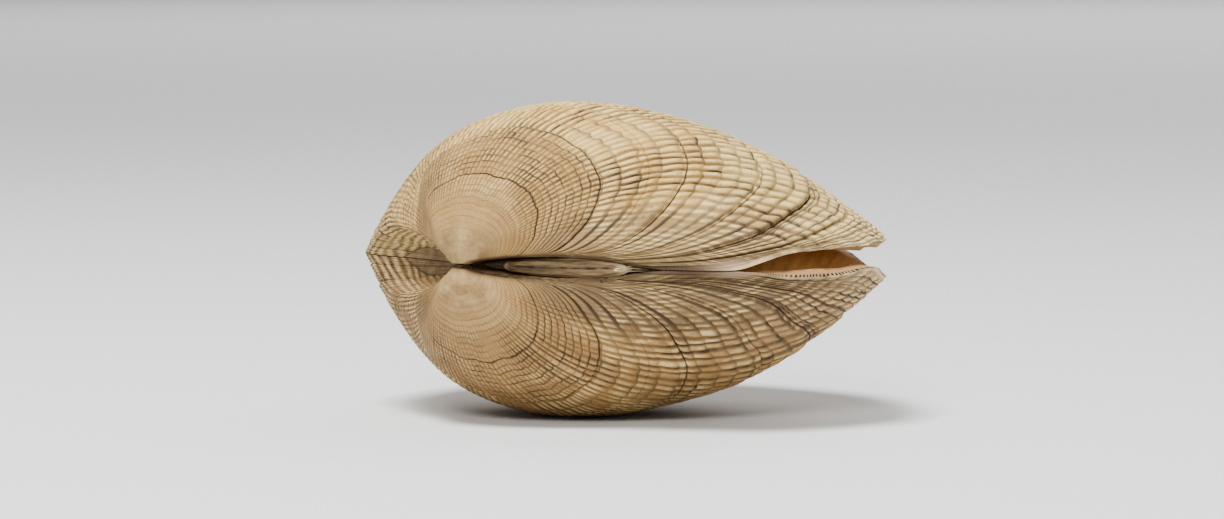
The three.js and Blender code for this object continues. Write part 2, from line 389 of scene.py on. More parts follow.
def outline(count):
    """Points spaced evenly along the smooth closed outline."""
    here = np.array(OUTLINE, float)
    before = np.roll(here, 1, 0)
    after = np.roll(here, -1, 0)
    beyond = np.roll(here, -2, 0)
    t = np.linspace(0, 1, CURVE_STEPS, endpoint=False)[None, :, None]
    a, b, c, d = (points[:, None, :] for points in (before, here, after, beyond))
    curve = 0.5 * (2 * b + (c - a) * t + (2 * a - 5 * b + 4 * c - d) * t**2 + (3 * b - a - 3 * c + d) * t**3)
    curve = curve.reshape(-1, 2)
    closed = np.vstack([curve, curve[:1]])
    length = np.concatenate([[0], np.cumsum(np.linalg.norm(np.diff(closed, axis=0), axis=1))])
    wanted = np.linspace(0, length[-1], count, endpoint=False)
    return np.stack([np.interp(wanted, length, closed[:, k]) for k in (0, 1)], 1)


def running_total(density):
    """The sum of a density from the first step to each step."""
    return np.concatenate([[0], np.cumsum(0.5 * (density[1:] + density[:-1]) * np.diff(COUNT_STEPS))])


# Valves

def grown(edge, stage, inset):
    """Where the outline's points are at each stage, moved in towards the middle of their loop."""
    across = edge[:, 0] * math.cos(AXIS_TILT) - edge[:, 1] * math.sin(AXIS_TILT)
    out = edge[:, 0] * math.sin(AXIS_TILT) + edge[:, 1] * math.cos(AXIS_TILT)
    pinch = BEAK_PINCH * rise(0, PINCH_WIDTH, -across) * (1 - rise(*PINCH_STAGES, stage))
    pinch = pinch * (1 - rise(*PINCH_REACH, out))
    u = across * stage ** (WIDTH_POWER + WIDTH_SKEW * across) * (1 - pinch)
    g = out * stage
    to_u = LOOP_CENTRE[0] * stage - u
    to_g = LOOP_CENTRE[1] * stage - g
    reach = np.hypot(to_u, to_g)
    u = u + inset * to_u / reach
    g = g + inset * to_g / reach
    turn = -np.log(stage) / COIL_RATE * (1 + COIL_EASE * stage)
    along = g * np.cos(turn)
    x = u * math.cos(AXIS_TILT) + along * math.sin(AXIS_TILT)
    y = -u * math.sin(AXIS_TILT) + along * math.cos(AXIS_TILT)
    z = HALF_GAP + g * np.sin(turn)
    roof = HALF_GAP + np.interp(x, *np.array(SLOT).T) * (1 - rise(*SLOT_FLOOR, y))
    z = np.where(z < roof, roof - SLOT_SQUEEZE * (roof - z), z)
    return np.stack([x, y, z], -1)


def worn(stage, share, wear, is_inner, seed):
    """The stages pulled back where the open edge is worn, with small chips."""
    lost = 0
    for depth, centre, reach, bluntness, inner in wear:
        lost = lost + depth * bump(share, centre, reach) ** bluntness * (inner if is_inner else 1)
    chips = between(share, *CHIP_SPAN, soft=0.03) * CHIP_DEPTH * wobble(share, 0, seed, rounds=24, along=0)
    pull = np.clip((stage - WORN_FROM) / (1 - WORN_FROM), 0, 1)
    return np.minimum(stage - (lost + chips) * pull, 1)


def ridge_count(stage):
    """How many growth ridges lie between the beak and a stage."""
    spacing = np.interp(COUNT_STEPS, *np.array(RIDGE_SPACING).T)
    return np.interp(stage, COUNT_STEPS, running_total(1 / spacing))


def rib_count(share):
    """How many ribs lie between the start of the outline and a place on it; they crowd at the front end."""
    crowding = np.interp(COUNT_STEPS, *np.array(RIB_CROWDING).T)
    total = running_total(crowding)
    return np.interp(share, COUNT_STEPS, np.round(RIBS * total[-1]) * total / total[-1])


def rib_phases(share, line, seed):
    """Which rib and which ridge each place is on, counted on from the hinge and from the beak."""
    straight = 1 - 0.7 * between(share, 0.7, 0.92, soft=0.06)
    rib = rib_count(share) + RIB_WANDER * wobble(share, line, seed, rounds=8, along=0.5) * straight
    rib = rib + RIB_JITTER * wobble(share, line, seed + 1, rounds=50, along=12)
    ridge = ridge_count(line) + RIDGE_WANDER * wobble(share, line, seed + 2, rounds=6, along=1.5)
    jitter = RIDGE_JITTER * wobble(share, line, seed + 3, rounds=60, along=10)
    return rib, ridge + jitter * rise(0.24, 0.28, share)


def ledge_height(share, line, seed):
    """The steps and grooves at the growth ledges."""
    height = 0
    for number, (at, depth, _, step) in enumerate(LEDGES):
        uneven = wobble(share, 0, seed + LEDGE_SEED + number, rounds=7, along=0)
        strength = np.clip(0.8 + 0.4 * uneven, 0.2, 1.3)
        away = line - at
        groove = np.exp(-(away / LEDGE_REACH) ** 2)
        lip = np.where(away < 0, np.exp(away / LEDGE_FADE), -np.exp(-away / LEDGE_FADE))
        height = height + strength * (step * lip - depth * groove)
    return height


def sculpture(share, line, seed):
    """Height of the surface in millimetres, the phases of ribs and ridges, and how strong both are."""
    rib_phase, ridge_phase = rib_phases(share, line, seed)
    from_groove = np.abs(rib_phase - np.round(rib_phase))
    rib = 1 - (1 - 2 * from_groove) ** 3
    part = ridge_phase - np.floor(ridge_phase)
    ridge = (0.3 + 0.7 * rise(0, 0.6, part)) * (1 - rise(0.88, 1.0, part))

    patch = 0.8 + 0.3 * wobble(share, line, seed + 4, rounds=7, along=3)
    ribbed = rise(*RIBBED_START, share) * (1 - rise(*RIBBED_END, share)) * rise(*RIBBED_LINES, line) * patch
    ribbed = ribbed * (1 - 0.35 * rise(*FINE_FRONT, share) * (1 - rise(0.35, 0.6, line)))
    ridged = (0.3 + 0.7 * rise(0.09, 0.2, line)) * rise(0.03, 0.07, line)
    ridged = ridged * (0.85 + 0.25 * wobble(share, line, seed + 5, rounds=8, along=5))

    size = np.clip(line / FULL_SIZE_LINE, 0.1, 1)
    coarse = 1 - 0.8 * rise(*FINE_FRONT, share)
    swell = wobble(share, line, seed + 6, rounds=5, along=3) * rise(0.1, 0.4, line)
    height = RIB_HEIGHT * size * coarse * ribbed * (rib - 1)
    height = height + RIDGE_HEIGHT * size * ridged * (ridge - 1) * rise(0.3, 0.38, line)
    height = height + SWELL_HEIGHT * swell + ledge_height(share, line, seed)
    return height * rise(0.04, 0.2, line), rib_phase, ridge_phase, ribbed, ridged


def line_rows():
    """Growth lines from the beak to the open edge, closer together at the ledges."""
    beak = np.geomspace(BEAK_STAGE, ROW_SPANS[0][0], BEAK_ROWS)
    even = [np.linspace(low, high, rows) for low, high, rows in ROW_SPANS]
    close = [at + offset for at, _, _, _ in LEDGES for offset in LEDGE_ROWS]
    return np.unique(np.round(np.concatenate([beak] + even + [close]), 5))


def outward(surface, edge):
    """Unit normals of the rows of a valve, pointing out of it."""
    along = np.gradient(surface, axis=0)
    around = np.roll(surface, -1, 1) - np.roll(surface, 1, 1)
    normal = np.cross(around, along)
    normal /= np.maximum(np.linalg.norm(normal, axis=2, keepdims=True), 1e-9)
    middle = grown(edge, np.full((1, COLUMNS), MIDDLE_STAGE), MIDDLE_INSET).mean(axis=(0, 1))
    return -normal if np.sum(normal * (surface - middle)) < 0 else normal


def valve_rows(wear, rim, tip, drift, seed):
    """Points of one valve from the beak over the edge to the inside, with their masks."""
    share = np.arange(COLUMNS) / COLUMNS
    edge = outline(COLUMNS)
    lines = line_rows()
    line = np.broadcast_to(lines[:, None], (len(lines), COLUMNS))
    wave = LINE_WAVE * wobble(share, 0.7 * line, seed + 9, rounds=16, along=6)
    wave = wave + LINE_RIPPLE * wobble(share, line, seed + 10, rounds=60, along=9)
    wave = wave * between(line, 0.15, 0.97, soft=0.03)
    wave = wave + drift * between(share, *DRIFT_SPAN, soft=0.04) * between(line, *DRIFT_LINES, soft=0.12)
    stage = worn(line + wave, share, wear, False, seed)
    smooth = grown(edge, stage, 0)
    height, rib_phase, ridge_phase, ribbed, ridged = sculpture(share, line, seed)
    outside = smooth + outward(smooth, edge) * height[..., None]

    thick = WALL + HINGE_WALL * bump(share, HINGE_WALL_CENTRE, HINGE_WALL_REACH)
    inner_line = np.linspace(1, INNER_DEEPEST, INNER_ROWS)[:, None] * np.ones(COLUMNS)
    inner_stage = worn(inner_line, share, wear, True, seed)
    tooth = TOOTH_HEIGHT * np.cos(2 * np.pi * rib_phase[-1])
    tooth = tooth * rise(*TEETH_START, share) * (1 - rise(*TEETH_END, share))
    teeth = tooth * np.exp(-np.arange(INNER_ROWS) / TOOTH_ROWS)[:, None]
    inside = grown(edge, inner_stage, thick + teeth)
    lip_stage = 0.5 * (stage[-1:] + inner_stage[:1])
    lip = grown(edge, lip_stage, 0.5 * thick)

    points = np.concatenate([outside, lip, inside])
    extra = 1 + INNER_ROWS

    def extended(values, fill):
        """Values of the outside rows, with a fill for the rows of the lip and the inside."""
        return np.concatenate([values, np.broadcast_to(fill, (extra, COLUMNS))])

    all_lines = np.concatenate([line, np.full((1, COLUMNS), LIP_LINE), 2 * LIP_LINE - inner_line])
    to_edge = np.minimum(all_lines, 2 - all_lines)
    points[..., 2] -= (HALF_GAP - CLOSE_GAP) * rise(*CLOSING_LINES, to_edge)
    at_tip = between(share, *TIP_SPAN, soft=0.035) * rise(*TIP_LINES, to_edge)
    points = points + np.array(tip) * at_tip[..., None]
    points[..., 2] = np.maximum(points[..., 2], CLOSE_GAP)
    from_edge = extended(stage[-1] - stage, 0)
    masks = {"ribbed": extended(ribbed, 0), "ridged": extended(ridged, 0)}
    masks.update(zones(share, all_lines, extra, points, from_edge, rim))
    phases = (extended(rib_phase, rib_phase[-1]), extended(ridge_phase, ridge_phase[-1]))
    return points, share, all_lines, masks, phases


def zones(share, line, extra, points, from_edge, rim):
    """Places on the valve with a colour of their own; the slot's wall and the front end also carry painted
    shade.
    """
    outside = np.ones_like(line)
    outside[-extra + 1:] = 0
    lens = 1 - LUNULE_DEPTH * (1 - ((share - LUNULE_CENTRE) / LUNULE_HALF) ** 2)
    in_lens = (np.abs(share - LUNULE_CENTRE) < LUNULE_LIMIT) * outside
    rim_start, rim_end, rim_width = rim
    chalky = between(share, rim_start, rim_end, soft=0.02)
    x, y, z = points[..., 0], points[..., 1], points[..., 2]
    opening = np.interp(x, *np.array(SLOT).T)
    # Painted shade on the slot's wall, near its roof over the ligament.
    slot_wall_shade = rise(0.02, 0.3, opening) * (1 - rise(0.0, 0.3, z - HALF_GAP - opening))
    grown_up = rise(*ZONE_LINES, line)
    return {
        "lunule": rise(-0.01, 0.015, line - lens) * in_lens,
        "border": np.exp(-((line - lens) / LUNULE_BORDER) ** 2) * in_lens,
        "dorsal": (1 - rise(*DORSAL_END, share)) * rise(0.0, 0.01, share) * grown_up * outside,
        "strip": between(share, *STRIP_SPAN, soft=0.012) * rise(*STRIP_LINES, line) * outside,
        "rim": chalky * (1 - rise(0.6 * rim_width, rim_width, from_edge)) * outside,
        "umbo": (1 - rise(*BEAK_LINES, line)) * outside,
        "slot": slot_wall_shade * (1 - rise(3, 6, y)),
        "front": rise(*FRONT_START, share) * grown_up * outside,
    }


def placed(points):
    """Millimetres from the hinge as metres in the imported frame."""
    return (points + np.array([-REST_POINT[0], -REST_POINT[1], -FLOOR_Z])) * MM


def build_mesh(name, points, faces, masks, layers):
    """A smooth mesh object with its masks as point attributes and its phases as coordinate layers."""
    mesh = bpy.data.meshes.new(name)
    mesh.from_pydata(points.tolist(), [], faces)
    mesh.polygons.foreach_set("use_smooth", np.ones(len(faces), bool))
    for mask, values in masks.items():
        attribute = mesh.attributes.new(mask, "FLOAT", "POINT")
        attribute.data.foreach_set("value", np.ascontiguousarray(values, dtype=np.float32).ravel())
    for layer, values in layers.items():
        uv = mesh.uv_layers.new(name=layer)
        uv.data.foreach_set("uv", np.ascontiguousarray(values, dtype=np.float32).ravel())
    mesh.validate()
    mesh.update()
    thing = bpy.data.objects.new(name, mesh)
    bpy.context.scene.collection.objects.link(thing)
    return thing


def build_valve(name, wear, rim, seed, is_left):
    """One valve as a closed mesh: the outside, the lip, the inside, and small caps at the beak and within."""
    tip = LEFT_TIP if is_left else RIGHT_TIP
    drift = LEFT_DRIFT if is_left else 0
    points, share, lines, masks, (rib_phase, ridge_phase) = valve_rows(wear, rim, tip, drift, seed)
    if is_left:
        masks["slot"] = LEFT_SLOT_SHADE * masks["slot"]
        depth = LEFT_DEPTH * (1 + LEFT_SKEW * (points[..., 0] - LEFT_SKEW_CENTRE))
        points[..., 2] = -(HALF_GAP + depth * (points[..., 2] - HALF_GAP))
        points[..., 2] = np.maximum(points[..., 2], FLOOR_Z)
    rows = len(points)
    index = np.arange(rows * COLUMNS).reshape(rows, COLUMNS)
    right = np.roll(index, -1, 1)
    quads = np.stack([index[:-1], right[:-1], right[1:], index[1:]], -1).reshape(-1, 4)
    beak_cap = index[0][::-1]
    inner_cap = index[-1]
    faces = quads.tolist() + [beak_cap.tolist(), inner_cap.tolist()]
    if not is_left:
        faces = [face[::-1] for face in faces]

    def corners(values, closing):
        """One value per face corner, where the last column runs on to the closing value."""
        wide = np.concatenate([values, values[:, :1] + closing], 1)
        cells = np.stack([wide[:-1, :-1], wide[:-1, 1:], wide[1:, 1:], wide[1:, :-1]], -1).reshape(-1, 4)
        caps = [values[0][::-1], values[-1]]
        if not is_left:
            cells = cells[:, ::-1]
            caps = [cap[::-1] for cap in caps]
        return np.concatenate([cells.ravel()] + caps)

    around = np.broadcast_to(share, points.shape[:2])
    layers = {
        "growth_map": np.stack([corners(around, 1), corners(lines, 0)], -1),
        "sculpture_map": np.stack([corners(rib_phase, rib_count(1)), corners(ridge_phase, 0)], -1),
    }
    return build_mesh(name, placed(points).reshape(-1, 3), faces, masks, layers)


# Ligament

def layer_shape(sections, depth, seed):
    """A long lens of fibres lying in the slot, with a groove along its middle."""
    at, high, deep = np.array(sections).T
    x = np.linspace(at[0], at[-1], LIGAMENT_ROWS)[:, None]
    angle = (2 * np.pi * np.arange(LIGAMENT_SIDES) / LIGAMENT_SIDES)[None, :]
    turn = angle / (2 * np.pi)
    length = (x - at[0]) / (at[-1] - at[0])
    coarse = 0.05 * wobble(turn, length, seed, rounds=22, along=1.2)
    size = 1 + coarse + 0.04 * wobble(turn, length, seed + 1, rounds=14, along=7)
    z = np.interp(x, at, high) * np.sin(angle) * size
    middle = 0.06 * wobble(0, length, seed + 2, rounds=0, along=4)
    cut = np.exp(-((z - middle) / GROOVE_HALF) ** 2) * (np.cos(angle) > 0)
    cut = cut * between(length, 0.07, 0.86, soft=0.05)
    cut = cut * np.clip(0.8 + 0.5 * wobble(0, length, seed + 3, rounds=0, along=12), 0.25, 1)
    front = np.sign(np.cos(angle)) * np.abs(np.cos(angle)) ** FLATNESS
    y = depth - np.interp(x, at, deep) * front * size + LIGAMENT_GROOVE * cut
    points = np.stack([np.broadcast_to(x, y.shape), y, z], -1).reshape(-1, 3)
    index = np.arange(len(points)).reshape(LIGAMENT_ROWS, LIGAMENT_SIDES)
    right = np.roll(index, -1, 1)
    faces = np.stack([index[:-1], index[1:], right[1:], right[:-1]], -1).reshape(-1, 4).tolist()
    faces += [index[0].tolist(), index[-1][::-1].tolist()]
    return points.tolist(), faces, cut.ravel().tolist()


def build_ligament():
    """Both layers and the splinters as one mesh, with masks for dark grooves and pale ends."""
    points, faces, dark, pale = [], [], [], []

    def add(part_points, part_faces, part_dark, part_pale):
        base = len(points)
        points.extend(part_points)
        faces.extend([[base + corner for corner in face] for face in part_faces])
        dark.extend(part_dark)
        pale.extend(part_pale)

    shape, sides, cut = layer_shape(TOP_LAYER, TOP_DEPTH, TOP_SEED)
    ends = [float(0.45 * rise(*PALE_REAR, x) + 0.4 * (1 - rise(*PALE_FRONT, x))) for x, _, _ in shape]
    add(shape, sides, cut, ends)
    shape, sides, cut = layer_shape(UNDER_LAYER, UNDER_DEPTH, UNDER_SEED)
    add(shape, sides, [0.25 + 0.6 * value for value in cut], [0.0] * len(shape))
    for start, low, end, high, wide in SPLINTERS:
        front = SPLINTER_FRONT + SPLINTER_SINK * max(start - SPLINTER_SINK_FROM, 0)
        back = front + SPLINTER_THICK
        shape = [
            [start, front, low - wide], [start, front, low + wide],
            [start, back, low + wide], [start, back, low - wide], [end, front + SPLINTER_TIP, high],
        ]
        sides = [[0, 1, 2, 3]] + [[(k + 1) % 4, k, 4] for k in range(4)]
        add(shape, sides, [0.0] * 5, [1.0 if end < PALE_SPLINTER_END else 0.3] * 5)
    masks = {"dark": np.array(dark), "pale": np.array(pale)}
    return build_mesh("ligament_fibres", placed(np.array(points)), faces, masks, {})


# Materials

def srgb(red, green, blue):
    """A colour of 0 to 255 as the linear colour that a shader takes."""
    def linear(value):
        value /= 255
        return value / 12.92 if value <= 0.04045 else ((value + 0.055) / 1.055) ** 2.4
    return (linear(red), linear(green), linear(blue), 1)


class Nodes:
    """Short ways to add shader nodes to one material."""

    def __init__(self, name):
        self.material = bpy.data.materials.new(name)
        self.material.use_nodes = True
        self.tree = self.material.node_tree
        self.shader = self.tree.nodes["Principled BSDF"]

    def put(self, socket, value):
        if isinstance(value, bpy.types.NodeSocket):
            self.tree.links.new(value, socket)
        else:
            socket.default_value = value

    def mask(self, name):
        node = self.tree.nodes.new("ShaderNodeAttribute")
        node.attribute_name = name
        return node.outputs["Fac"]

    def layer(self, name):
        node = self.tree.nodes.new("ShaderNodeUVMap")
        node.uv_map = name
        return node.outputs["UV"]

    def place(self):
        return self.tree.nodes.new("ShaderNodeTexCoord").outputs["Object"]

    def split(self, vector):
        node = self.tree.nodes.new("ShaderNodeSeparateXYZ")
        self.put(node.inputs[0], vector)
        return node.outputs

    def joined(self, first, second):
        node = self.tree.nodes.new("ShaderNodeCombineXYZ")
        self.put(node.inputs[0], first)
        self.put(node.inputs[1], second)
        return node.outputs[0]

    def chance(self, vector):
        node = self.tree.nodes.new("ShaderNodeTexWhiteNoise")
        self.put(node.inputs["Vector"], vector)
        return node.outputs["Value"]

    def stretched(self, vector, scale):
        node = self.tree.nodes.new("ShaderNodeMapping")
        self.put(node.inputs["Vector"], vector)
        self.put(node.inputs["Scale"], scale)
        return node.outputs[0]

    def noise(self, vector, scale, detail=4.0, roughness=0.55):
        node = self.tree.nodes.new("ShaderNodeTexNoise")
        self.put(node.inputs["Vector"], vector)
        self.put(node.inputs["Scale"], scale)
        self.put(node.inputs["Detail"], detail)
        self.put(node.inputs["Roughness"], roughness)
        return node.outputs["Fac"]

    def calc(self, operation, first, second=0.0):
        node = self.tree.nodes.new("ShaderNodeMath")
        node.operation = operation
        self.put(node.inputs[0], first)
        self.put(node.inputs[1], second)
        return node.outputs[0]

    def times(self, first, *others):
        """The product of all values."""
        for other in others:
            first = self.calc("MULTIPLY", first, other)
        return first

    def largest(self, first, *others):
        """The largest of all values."""
        for other in others:
            first = self.calc("MAXIMUM", first, other)
        return first

    def distance(self, first, second):
        return self.calc("ABSOLUTE", self.calc("SUBTRACT", first, second))

    def spread(self, value, low, high, to_low=0.0, to_high=1.0):
        """A smooth step from to_low, where the value is low, to to_high, where it is high."""
        node = self.tree.nodes.new("ShaderNodeMapRange")
        node.interpolation_type = "SMOOTHSTEP"
        for socket, setting in zip(node.inputs, (value, low, high, to_low, to_high)):
            self.put(socket, setting)
        return node.outputs[0]

    def ramp(self, value, stops):
        node = self.tree.nodes.new("ShaderNodeValToRGB")
        self.put(node.inputs[0], value)
        elements = node.color_ramp.elements
        while len(elements) < len(stops):
            elements.new(0.5)
        for element, (at, colour) in zip(elements, stops):
            element.position = at
            element.color = srgb(*colour)
        return node.outputs[0]

    def mix(self, share, first, second):
        node = self.tree.nodes.new("ShaderNodeMix")
        node.data_type = "RGBA"
        node.clamp_factor = True
        self.put(node.inputs[0], share)
        self.put(node.inputs[MIX_FIRST], first)
        self.put(node.inputs[MIX_SECOND], second)
        return node.outputs[MIX_RESULT]

    def tinted(self, tone, amount, colour):
        """A tone with an amount of one colour over it."""
        return self.mix(amount, tone, srgb(*colour))

    def bumps(self, height, strength, distance):
        node = self.tree.nodes.new("ShaderNodeBump")
        self.put(node.inputs["Height"], height)
        self.put(node.inputs["Strength"], strength)
        self.put(node.inputs["Distance"], distance)
        return node.outputs[0]


class ShellNodes(Nodes):
    """The nodes of a shell material, with the coordinates and patterns that its layers share."""

    def __init__(self, name):
        super().__init__(name)
        self.spot = self.place()
        self.along, _, self.height = self.split(self.spot)
        self.growth = self.layer("growth_map")
        self.share, self.line, _ = self.split(self.growth)
        self.rib_phase, self.ridge_phase, _ = self.split(self.layer("sculpture_map"))
        self.groove_number = self.calc("ROUND", self.rib_phase)
        self.rib_part = self.distance(self.rib_phase, self.groove_number)
        self.ridge_number = self.calc("FLOOR", self.ridge_phase)
        self.ridge_part = self.calc("FRACT", self.ridge_phase)

        # Where the shell was young, how its marks are spread, and what lies behind the beaks.
        young_end = self.spread(self.line, *YOUNG_END, 1.0, 0.0)
        self.young = self.times(self.spread(self.line, *YOUNG_START), young_end)
        self.blotches = self.noise(self.spot, BLOTCH_NOISE, 5.0, 0.6)
        self.streaks = self.noise(self.stretched(self.growth, STREAK_STRETCH), 1.0, 5.0, 0.65)
        self.broken = self.spread(self.noise(self.spot, BREAK_NOISE, 4.0, 0.6), 0.34, 0.6, 0.25, 1.0)
        self.behind = self.spread(self.along, *BEHIND_BEAKS)

        # Painted shade on the flanks of the ribs and ridges, darkest at each groove and step, so they look
        # rounded.
        side = self.times(self.spread(self.rib_part, 0.03, 0.4, 0.85, 0.0), self.mask("ribbed"))
        back = self.times(self.spread(self.ridge_part, 0.45, 0.97, 0.0, 0.7), self.mask("ridged"))
        self.flank_shade = self.largest(side, back)


def growth_tone(n, tone_stops):
    """Bands of growth with blotches and fine streaks, the duller beak and hinge side, and a darker front end
    that is partly painted shade.
    """
    drift = n.spread(n.noise(n.spot, BAND_NOISE, 3.0), 0.2, 0.8, -BAND_DRIFT, BAND_DRIFT)
    tone = n.ramp(n.calc("ADD", n.line, drift), tone_stops)
    tone = n.tinted(tone, n.spread(n.blotches, 0.5, 0.72, 0.0, 0.5), WARM_BLOTCH)
    tone = n.tinted(tone, n.spread(n.noise(n.spot, PALE_NOISE, 5.0), 0.5, 0.75, 0.0, 0.6), PALE_BLOTCH)
    tone = n.tinted(tone, n.spread(n.streaks, 0.5, 0.72, 0.0, 0.5), STREAK)
    rays = n.noise(n.stretched(n.growth, RAY_STRETCH), 1.0, 3.0, 0.5)
    tone = n.tinted(tone, n.spread(rays, 0.55, 0.8, 0.0, 0.35), RAY)
    beak_tone = n.ramp(n.noise(n.spot, BEAK_NOISE, 5.0), BEAK_STOPS)
    tone = n.mix(n.times(n.mask("umbo"), 0.8), tone, beak_tone)
    tone = n.tinted(tone, n.times(n.mask("dorsal"), 0.8), HINGE_SIDE)
    # Partly painted shade: darkens the front flank, where the curve of the shell catches light.
    tone = n.tinted(tone, n.times(n.mask("front"), 0.6), FRONT_END_AND_SHADE)
    arcs = n.noise(n.stretched(n.growth, ARC_STRETCH), 1.0, 3.0, 0.6)
    return n.tinted(tone, n.times(n.spread(arcs, 0.42, 0.62, 0.0, 0.6), n.young), YOUNG_ARC)


def rib_tone(n, tone, flank_shade_tone):
    """Pale tops of the ribs, partly wear and partly painted highlight, single dull beads, and flanks browned by
    painted shade.
    """
    # Partly wear, partly painted highlight: patches of pale rib tops.
    pale_top = n.spread(n.noise(n.spot, PALE_TOP_NOISE, 4.0), 0.38, 0.62, 0.0, 0.75)
    pale_top = n.times(pale_top, n.spread(n.line, 0.3, 0.38, 0.3, 1.0))
    tone = n.tinted(tone, n.times(pale_top, n.spread(n.rib_part, 0.2, 0.4)), RIB_TOP_WEAR_AND_HIGHLIGHT)
    bead = n.chance(n.joined(n.calc("FLOOR", n.rib_phase), n.ridge_number))
    tone = n.tinted(tone, n.times(bead, 0.35), DULL_BEAD)
    # Painted shade: the flanks of the ribs and ridges are browned.
    return n.tinted(tone, n.times(n.flank_shade, n.spread(n.blotches, 0.3, 0.62, 0.65, 1.0)), flank_shade_tone)


def rib_dirt(n):
    """Dark dirt between the ribs, in dashes that end at the ridges."""
    cell = n.chance(n.joined(n.groove_number, n.ridge_number))
    stained = n.times(n.broken, n.spread(n.calc("ADD", cell, n.blotches), 0.62, 1.05, 0.3, 1.15))
    stained = n.times(stained, n.spread(n.ridge_part, 0.05, 0.7, 0.6, 1.0))
    return n.times(n.spread(n.rib_part, 0.07, 0.25, 1.0, 0.0), n.mask("ribbed"), stained)


def ridge_dirt(n):
    """Dark dirt between the ridges, with finer lines at the front end, the hinge side and the young shell."""
    uneven = n.spread(n.chance(n.joined(n.ridge_number, 0.0)), 0.0, 0.7, 0.5, 1.0)
    strong = n.largest(n.times(n.mask("front"), 0.9), n.spread(n.line, 0.77, 0.8, 0.0, 0.8))
    strong = n.largest(n.times(n.broken, n.spread(n.line, 0.5, 0.6, 0.6, 1.4)), strong)
    narrow = n.spread(n.line, 0.52, 0.62, 0.8, 0.66)
    main = n.times(n.spread(n.ridge_part, narrow, 0.92), n.mask("ridged"), strong, uneven)
    half_part = n.calc("FRACT", n.times(n.ridge_phase, 2.0))
    halves = n.times(n.spread(half_part, 0.66, 0.88), n.broken, n.mask("front"))
    crowded = n.times(n.mask("dorsal"), n.spread(n.ridge_part, 0.58, 0.8))
    early = n.times(n.young, n.broken, n.spread(n.ridge_part, 0.66, 0.88))
    early = n.times(early, n.spread(n.line, 0.19, 0.24, 0.5, 1.0))
    return n.largest(main, halves, n.times(n.largest(crowded, early), uneven))


def grit(n):
    """Fine dark grit in patches."""
    grains = n.spread(n.noise(n.spot, GRIT_NOISE, 3.0, 0.7), 0.52, 0.7, 0.0, 0.7)
    patches = n.spread(n.noise(n.spot, GRIT_PATCH_NOISE, 3.0), 0.4, 0.65, 0.2, 1.0)
    return n.times(grains, patches, n.spread(n.line, 0.2, 0.5, 0.4, 1.0))


def ledge_lines(n):
    """How dark the broken lines at the growth ledges are."""
    lines = 0.0
    for at, _, dark, _ in LEDGES:
        lines = n.largest(lines, n.spread(n.distance(n.line, at), *LEDGE_LINE_REACH, dark, 0.0))
    return n.times(lines, n.spread(n.noise(n.spot, LEDGE_NOISE, 3.0), 0.3, 0.5, 0.35, 1.0))


def zone_tone(n, tone):
    """Painted shade low on the shell near the floor, the strip behind the ligament, the lunule and the chalky
    rim.
    """
    # Painted shade: the shell turns darker towards the floor.
    tone = n.tinted(tone, n.spread(n.height, 0.0, UNDERSIDE_SHADE_HEIGHT, 0.3, 0.0), UNDERSIDE_SHADE)
    strip_tone = n.mix(n.spread(n.share, *STRIP_PALES), srgb(*STRIP_DARK), srgb(*STRIP_PALE))
    tone = n.mix(n.times(n.mask("strip"), 0.9), tone, strip_tone)
    lunule_tone = n.ramp(n.noise(n.spot, LUNULE_NOISE), LUNULE_STOPS)
    tone = n.mix(n.times(n.mask("lunule"), 0.85), tone, lunule_tone)
    tone = n.tinted(tone, n.times(n.mask("border"), 0.85), LUNULE_LINE)
    chalk = n.spread(n.noise(n.spot, CHALK_NOISE, 4.0), 0.35, 0.6, 0.4, 1.0)
    return n.tinted(tone, n.times(n.mask("rim"), chalk), CHALK)


def inside_tone(n, tone):
    """The hollow, with painted shade deep inside towards the beaks, the lip with dark pits between the teeth,
    and the slot's brown wall with painted shade.
    """
    hollow = n.ramp(n.noise(n.spot, HOLLOW_NOISE, 4.0), HOLLOW_STOPS)
    # Painted shade: the hollow darkens towards the beaks.
    hollow = n.mix(n.behind, srgb(*HOLLOW_SHADE), hollow)
    inner = n.mix(n.spread(n.line, *HOLLOW_LINES), srgb(*LIP), hollow)
    tone = n.mix(n.spread(n.line, 1.0, LIP_LINE), tone, inner)
    pit = n.spread(n.calc("PINGPONG", n.times(n.rib_phase, PITS_PER_RIB), 0.5), 0.14, 0.3)
    pit = n.times(pit, n.spread(n.line, *PIT_START), n.spread(n.line, *PIT_END, 1.0, 0.0))
    worn_pits = n.spread(n.noise(n.spot, PIT_NOISE, 3.0), 0.38, 0.52, 0.3, 1.0)
    tone = n.tinted(tone, n.times(pit, worn_pits), PIT)
    # The slot's wall: browner, and darkened by painted shade.
    return n.tinted(tone, n.times(n.mask("slot"), 0.9), SLOT_WALL_AND_SHADE)


def painted_glow(n):
    """A painted glow: the inside near the gape emits a faint warm light, standing in for light that reaches the
    hollow.
    """
    facets = n.noise(n.stretched(n.spot, FACET_STRETCH), 1.0, 0.0)
    glow = n.times(n.behind, n.spread(facets, 0.44, 0.54, 0.5, 1.5))
    glow = n.times(glow, n.spread(n.along, *GLOW_SPAN, *GLOW_RANGE), n.spread(n.line, *GLOW_LINES))
    n.put(n.shader.inputs["Emission Color"], srgb(*PAINTED_GLOW_COLOUR))
    n.put(n.shader.inputs["Emission Strength"], glow)
    n.material.cycles.emission_sampling = "NONE"


